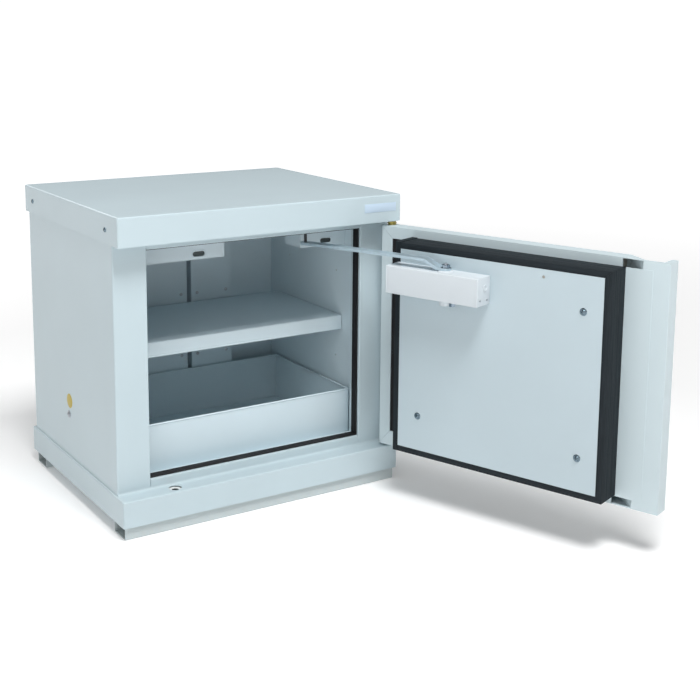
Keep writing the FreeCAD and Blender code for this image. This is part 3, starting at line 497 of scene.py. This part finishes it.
def lock_face():
    """Round lock cylinder with a bevelled rose and a keyway in the outer face of the door."""
    low, high = span("lock_cylinder", shut=True)
    skin = span("door_skin", shut=True)[0].y
    case_low, case_high = span("lock_case", shut=True)
    rose_x, rose_z = (case_low.x + case_high.x) / 2, (low.z + high.z) / 2
    body = lathe([(0, -14), (7.5, -14), (7.5, 0.3), (11.2, 0.3), (11.2, 0.7), (10.2, 1.7), (8.9, 2.0),
                  (8.5, 1.2), (7.6, 1.2), (7.2, 1.7), (0, 1.7)])
    body = carve(body, block((-0.55, -3.4, -8), (0.55, 2.2, 3)))
    body = carve(body, block((-1.3, -3.9, -8), (1.3, -2.6, 3), 0.2, 1))
    place = facing((rose_x, skin, rose_z), -Y)
    piece("lock_cylinder_face", copies(body, [place]), ZINC, "lock_cylinder",
          ["lock_cylinder"], True)


def hinge_details():
    """Turned washers on the two brass bushes of the door."""
    low, high = span("hinge_bushes")
    pin = span("hinge_pins")
    middle = (pin[0] + pin[1]) / 2
    outer = (high.x - low.x) / 2
    ring = lathe([(4.4, 0), (outer + 1.2, 0), (outer + 1.6, 0.4), (outer + 1.6, 1.2),
                  (outer + 1.2, 1.6), (4.4, 1.6), (4.4, 0)])
    top, bottom = span("door_skin")[1].z, span("door_skin")[0].z
    places = [Matrix.Translation((middle.x, middle.y, z)) for z in (top + 2.4, bottom - 3.2)]
    piece("hinge_washers", copies(ring, places), BRASS, "door")


# ---------------------------------------------------------------- cover, body and inside
def name_plate():
    """Blank plate on the front of the cover."""
    low, high = span("top_cover")
    width, tall, thick = 74.0, 17.0, 0.5
    right, top = high.x - 12, high.z - 16
    plate = block((right - width, low.y - thick, top - tall), (right, low.y + 0.2, top), 0.24, 2)
    piece("blank_plate", plate, PLATE, "cabinet")


def ledge_cove():
    """Soft inside bend where the front frame meets the ledge of the base."""
    ledge = span("base_pan")[1].z
    front = span("front_rail_bottom")[0].y
    side = span("roof_panel")[1].x
    radius = 5.0
    section = arc((-radius, radius), radius, -90, 0) + [(0.3, radius), (0.3, -0.2), (-radius, -0.2)]
    rows = [(Vector((x, front, ledge)), Y, Z) for x in (-side, side)]
    piece("ledge_cove", swept(rows, section), SHEET, "cabinet")


def wire_screen(low, high, pitch=1.6, wire=0.55):
    """Woven screen of crossing wires in an upright plane, with a backing sheet just behind it; the dark
    grey given to both is painted shade for the inside of an air box.
    """
    wires = [block((low[0], low[1] + 0.8, low[2]), (high[0], low[1] + 1.1, high[2]))]
    for axis in (0, 2):
        steps = int((high[axis] - low[axis]) / pitch)
        for i in range(steps + 1):
            first, last = list(low), list(high)
            first[axis] = low[axis] + i * pitch
            last[axis] = first[axis] + wire
            first[1] = low[1] + (0.3 if axis else 0.0)
            last[1] = first[1] + wire
            wires.append(block(first, last))
    return together(wires)


HOLE_PLACES = {"left": -83.4, "right": 203.0}     # middle of each air box's hole, along X


def vent_rims():
    """Pressed rim round the long hole of each air box, with a wire screen behind it whose dark grey is
    painted shade for the inside of the box.
    """
    reach, radius = 8.0, 5.6
    section = [(-0.9, -1.2), (-0.9, 0.2), (-0.4, 0.75), (0.5, 0.95), (1.4, 0.75), (2.1, 0)]
    for label, hole in HOLE_PLACES.items():
        low = span(f"vent_box_{label}")[0]
        level = low.z + 11
        rows = []
        for start, shift in ((-90, reach), (90, -reach)):
            for u, v in arc((0, 0), 1.0, start, start + 180, 14):
                out = Vector((u, 0, v))
                rows.append((Vector((hole + shift, low.y, level)) + out * radius, out, -Y))
        screen = wire_screen((hole - reach - radius, low.y + 2.0, level - radius),
                             (hole + reach + radius, low.y + 2.0, level + radius))
        # The screen and its backing sheet carry painted shade for the dark inside of the air box.
        piece(f"vent_screen_painted_shade_{label}", screen, SCREEN_PAINTED_SHADE, "cabinet")
        piece(f"vent_rim_{label}", swept(rows, section, loop=True, solid=False), LINER, "cabinet")


def tray_hem():
    """Rolled edge round the top of the sump tray."""
    low, high = span("sump_tray")
    radius = 1.9
    ends = [Vector((x, y, high.z - radius * 0.4)) for x, y in
            ((low.x, low.y), (high.x, low.y), (high.x, high.y), (low.x, high.y))]
    inward = [X + Y, -X + Y, -X - Y, X - Y]
    rows = [(end, way, Z) for end, way in zip(ends, inward)]
    section = [(radius * 0.4 + u, v) for u, v in arc((0, 0), radius, 0, 330, 11)]
    piece("sump_tray_hem", swept(rows, section, loop=True), LINER, "cabinet")


def shelf_hem():
    """Turned-back lower edge of the shelf's front lip."""
    low, high = span("shelf")
    radius = 1.5
    rows = [(Vector((x, low.y + radius * 0.5, low.z + radius)), Y, Z)
            for x in (low.x + 0.5, high.x - 0.5)]
    section = arc((0, 0), radius, 0, 330, 11)
    piece("shelf_hem", swept(rows, section), LINER, "cabinet")


def duct_fixings():
    """Screws in the duct covers on the rear wall."""
    places = []
    for label in ("left", "right"):
        low, high = span(f"duct_cover_{label}")
        for x in (low.x + 14, high.x - 14):
            for z in (low.z + 130, (low.z + high.z) / 2 + 40, high.z - 24):
                places.append(facing((x, low.y, z), -Y, 20 + x + z))
    piece("duct_screws", copies(cross_head(3.6, 1.9), places), ZINC, "cabinet")


def rear_fixings():
    """Blind rivets round the rear panel and the spigot's flange, and a blank plate."""
    low, high = span("rear_panel")
    rivet = lathe([(0, 0), (3.2, 0), (3.0, 0.6), (2.0, 1.1), (0.9, 1.2), (0.8, 0.7), (0, 0.7)], 24)
    base, cover = span("base_pan")[1].z, span("top_cover")[0].z
    levels = [base + 18 + i * (cover - base - 36) / 4 for i in range(5)]
    spots = [(x, z) for x in (low.x + 9, high.x - 9) for z in levels]
    spots += [(low.x + 9 + i * (high.x - low.x - 18) / 5, z) for i in range(1, 5)
              for z in (levels[0], levels[-1])]
    first, last = span("exhaust_spigot")
    centre = (first + last) / 2
    flange = (last.x - first.x) / 2 - 5.5
    places = [facing((x, high.y, z), Y) for x, z in spots]
    turns = [math.radians(45 + 90 * i) for i in range(4)]
    places += [facing((centre.x + flange * math.cos(a), high.y + 2, centre.z + flange * math.sin(a)),
                      Y) for a in turns]
    piece("rear_rivets", copies(rivet, places), ZINC, "cabinet")
    plate = block((high.x - 150, high.y - 0.2, base + 40), (high.x - 60, high.y + 0.6, base + 95),
                  0.28, 2)
    piece("rear_blank_plate", plate, PLATE, "cabinet")


def spigot_bead():
    """Stiffening bead and rolled rim on the exhaust spigot."""
    low, high = span("exhaust_spigot")
    centre = (low + high) / 2
    outer = 37.5
    bead = [(outer - 0.2, -11)] + [(outer - 0.6 + r, h - 9) for r, h in arc((0, 0), 2.2, -80, 80, 8)]
    bead += [(outer - 0.2, -7)]
    lip = [(outer - 1.6, -0.4), (outer - 1.2, 0.4), (outer - 0.4, 0.7), (outer + 0.5, 0.3),
           (outer + 0.7, -0.6), (outer, -1.6)]
    place = facing((centre.x, high.y, centre.z), Y)
    piece("spigot_bead", copies(together([lathe(bead, 96), lathe(lip, 96)]), [place]), ZINC,
          "cabinet")


# ---------------------------------------------------------------- door closer
def closer_ends():
    """End caps of the closer's cover, each with a round boss and two small screws."""
    low, high = span("closer_cover", shut=True)
    middle = (low + high) / 2
    thick, lap = 3.2, 0.9
    for label, edge, way in (("free", low.x, -X), ("hinge", high.x, X)):
        inner = edge - way.x * lap
        outer = edge + way.x * (thick - lap)
        cap = block((min(inner, outer), low.y + 0.6, low.z - 0.35),
                    (max(inner, outer), high.y + 0.35, high.z + 0.35), 1.1, 3)
        boss = lathe([(0, -1), (6.4, -1), (6.4, 0.7), (5.9, 1.2), (4.4, 1.2), (3.9, 0.5), (0, 0.5)])
        boss = copies(boss, [facing((outer, middle.y - 4, middle.z + 6), way)])
        piece(f"closer_cap_{label}", together([cap, boss]), CLOSER, "door", (), True)
        spots = [(middle.y + 13, middle.z - 15), (middle.y - 12, middle.z - 17)]
        screws = copies(cross_head(2.3, 1.3), [facing((outer - way.x * 0.2, y, z), way, 30)
                                               for y, z in spots])
        piece(f"closer_cap_screws_{label}", screws, ZINC, "door", (), True)


def closer_shell():
    """Clipped-on front of the closer's cover, a thin lip over its top and bottom."""
    low, high = span("closer_cover", shut=True)
    back, skin, bend = high.y - 6.5, 0.45, 2.0
    front, top, bottom = high.y + skin, high.z + skin, low.z - skin
    outer = [(back, bottom)] + arc((front - bend, bottom + bend), bend, -90, 0, 6)
    outer += arc((front - bend, top - bend), bend, 0, 90, 6) + [(back, top)]
    inner = [(back, top - 0.6), (front - 1.2, top - 1.4), (front - 1.2, bottom + 1.4),
             (back, bottom + 0.6)]
    rows = [(Vector((x, 0, 0)), Y, Z) for x in (low.x + 2.4, high.x - 2.4)]
    piece("closer_front_shell", swept(rows, outer + inner), CLOSER, "door", (), True)


def closer_collars():
    """Moulded collars where the spindle leaves the cover, and the nuts on the spindle."""
    low, high = span("closer_cover", shut=True)
    axis = SWING.inverted() @ Vector(joints["closer_spindle_turn"]["pos_m"]) / MM
    arm_thick = 5.0
    upper = lathe([(9.2, -0.4), (9.2, 1.6), (9.9, 2.2), (13.2, 1.8), (14.6, 0.9), (14.9, 0),
                   (14.9, -0.4)])
    lower = lathe([(0, 12.4), (9.6, 12.4), (10.8, 11.6), (11.4, 10.4), (11.8, -0.4)])
    collars = [copies(upper, [facing((axis.x, axis.y, high.z), Z)]),
               copies(lower, [facing((axis.x, axis.y, low.z), -Z)])]
    valve = [facing((axis.x - 15.5, axis.y, low.z), -Z, 10)]
    piece("closer_valve_nut", copies(hexagon(11.0, 12.6), valve), ARM_BOLT, "door", (),
          True)
    piece("closer_collars", together(collars), CLOSER, "door", (), True)
    arm_top = span("closer_arm")[0].z + arm_thick
    washer = lathe([(3.4, 0), (9.6, 0), (9.8, 0.3), (9.6, 1.0), (3.4, 1.0), (3.4, 0)])
    nut = copies(hexagon(13.4, 6.2, 3.45), [Matrix.Translation((0, 0, 1.0))])
    fixings = together([washer, nut])
    piece("spindle_nuts", copies(fixings, [facing((axis.x, axis.y, arm_top), Z, 14)]), ARM_BOLT,
          "closer_arm", (), True)


for build in (plug_strips, opening_seals, panel_screws, cover_screws, earth_point, lock_keep,
              lock_face, hinge_details, name_plate, ledge_cove, vent_rims, tray_hem, shelf_hem,
              duct_fixings, rear_fixings, spigot_bead, closer_ends, closer_shell, closer_collars):
    build()


# ---------------------------------------------------------------- floor, light and camera
WORLD_LIGHT = 0.22
# radius and height of the floor in metres: level near the cabinet, rising far away
FLOOR_PROFILE = [(0, -0.0005), (5, -0.0005), (40, -0.0005), (52, 0.5), (62, 1.5), (75, 4.0)]
# name, place, aim, width, height, watts
LIGHTS = (
    ("key_front_left", (-2.15, -3.25, 2.45), (0.1, -0.2, 0.3), 2.4, 1.8, 12),
    ("side_left", (-3.2, -2.2, 1.8), (0.1, -0.2, 0.3), 2.0, 1.6, 11),
    ("overhead_front", (-0.2, -1.9, 3.6), (0.1, -0.2, 0.3), 1.6, 1.2, 134),
    ("edge_rear", (-0.9, 3.0, 2.4), (0, 0, 0.5), 2.2, 1.5, 36),
)
FRAME_PIXELS, LENS_PIXELS, SHIFT_PIXELS = 700.0, 1210.5, (20.0, -125.0)
CAMERA_PLACE = (-1.0886, -2.1794, 0.9359)
CAMERA_TURNS = (32.31, 9.70, 0.40)     # azimuth, tilt down and roll, in degrees


def stage():
    """White floor that glows a little more with distance, under an even white sky."""
    mesh = bpy.data.meshes.new("studio_floor")
    sweep = lathe(FLOOR_PROFILE, 96)
    sweep.to_mesh(mesh)
    sweep.free()
    mesh.shade_smooth()
    floor = bpy.data.objects.new("studio_floor", mesh)
    bpy.context.collection.objects.link(floor)
    m = Nodes("floor_white")
    away = m.add("ShaderNodeVectorMath", Vector=m.place)
    away.operation = "LENGTH"
    glow = m.ramp(away.outputs["Value"], 0.14, 0.84, 1.3, 4.6)
    m.set(Base_Color=rgba(0.93, 0.93, 0.93), Roughness=0.6, Emission_Color=rgba(1, 1, 1),
          Emission_Strength=glow)
    floor.data.materials.append(m.material)
    world = bpy.data.worlds.new("studio_world")
    bpy.context.scene.world = world
    world.use_nodes = True
    sky = world.node_tree.nodes["Background"]
    sky.inputs["Color"].default_value = rgba(1, 1, 1)
    sky.inputs["Strength"].default_value = WORLD_LIGHT


def area_light(name, place, aim, width, height, watts):
    """Rectangular lamp at a place, turned towards its aim."""
    light = bpy.data.lights.new(name, "AREA")
    light.shape, light.size, light.size_y, light.energy = "RECTANGLE", width, height, watts
    lamp = bpy.data.objects.new(name, light)
    bpy.context.collection.objects.link(lamp)
    lamp.location = place
    lamp.rotation_mode = "QUATERNION"
    lamp.rotation_quaternion = (Vector(aim) - Vector(place)).to_track_quat("-Z", "Y")


def camera():
    """Long lens a little above the cabinet, from the front left."""
    azimuth, tilt, roll = (math.radians(a) for a in CAMERA_TURNS)
    look = Vector((math.sin(azimuth) * math.cos(tilt), math.cos(azimuth) * math.cos(tilt),
                   -math.sin(tilt)))
    right = look.cross(Vector((0, 0, 1))).normalized()
    up = right.cross(look)
    turned = right * math.cos(roll) + up * math.sin(roll)
    upward = up * math.cos(roll) - right * math.sin(roll)
    data = bpy.data.cameras.new("camera")
    data.sensor_width = 36.0
    data.lens = 36.0 * LENS_PIXELS / FRAME_PIXELS
    data.shift_x, data.shift_y = (pixels / FRAME_PIXELS for pixels in SHIFT_PIXELS)
    data.clip_start, data.clip_end = 0.05, 100.0
    cam = bpy.data.objects.new("camera", data)
    bpy.context.collection.objects.link(cam)
    axes = Matrix((turned, upward, -look)).transposed().to_4x4()
    cam.matrix_world = Matrix.Translation(Vector(CAMERA_PLACE)) @ axes
    bpy.context.scene.camera = cam


stage()
for light in LIGHTS:
    area_light(*light)
camera()
bpy.context.scene.view_settings.view_transform = "Standard"
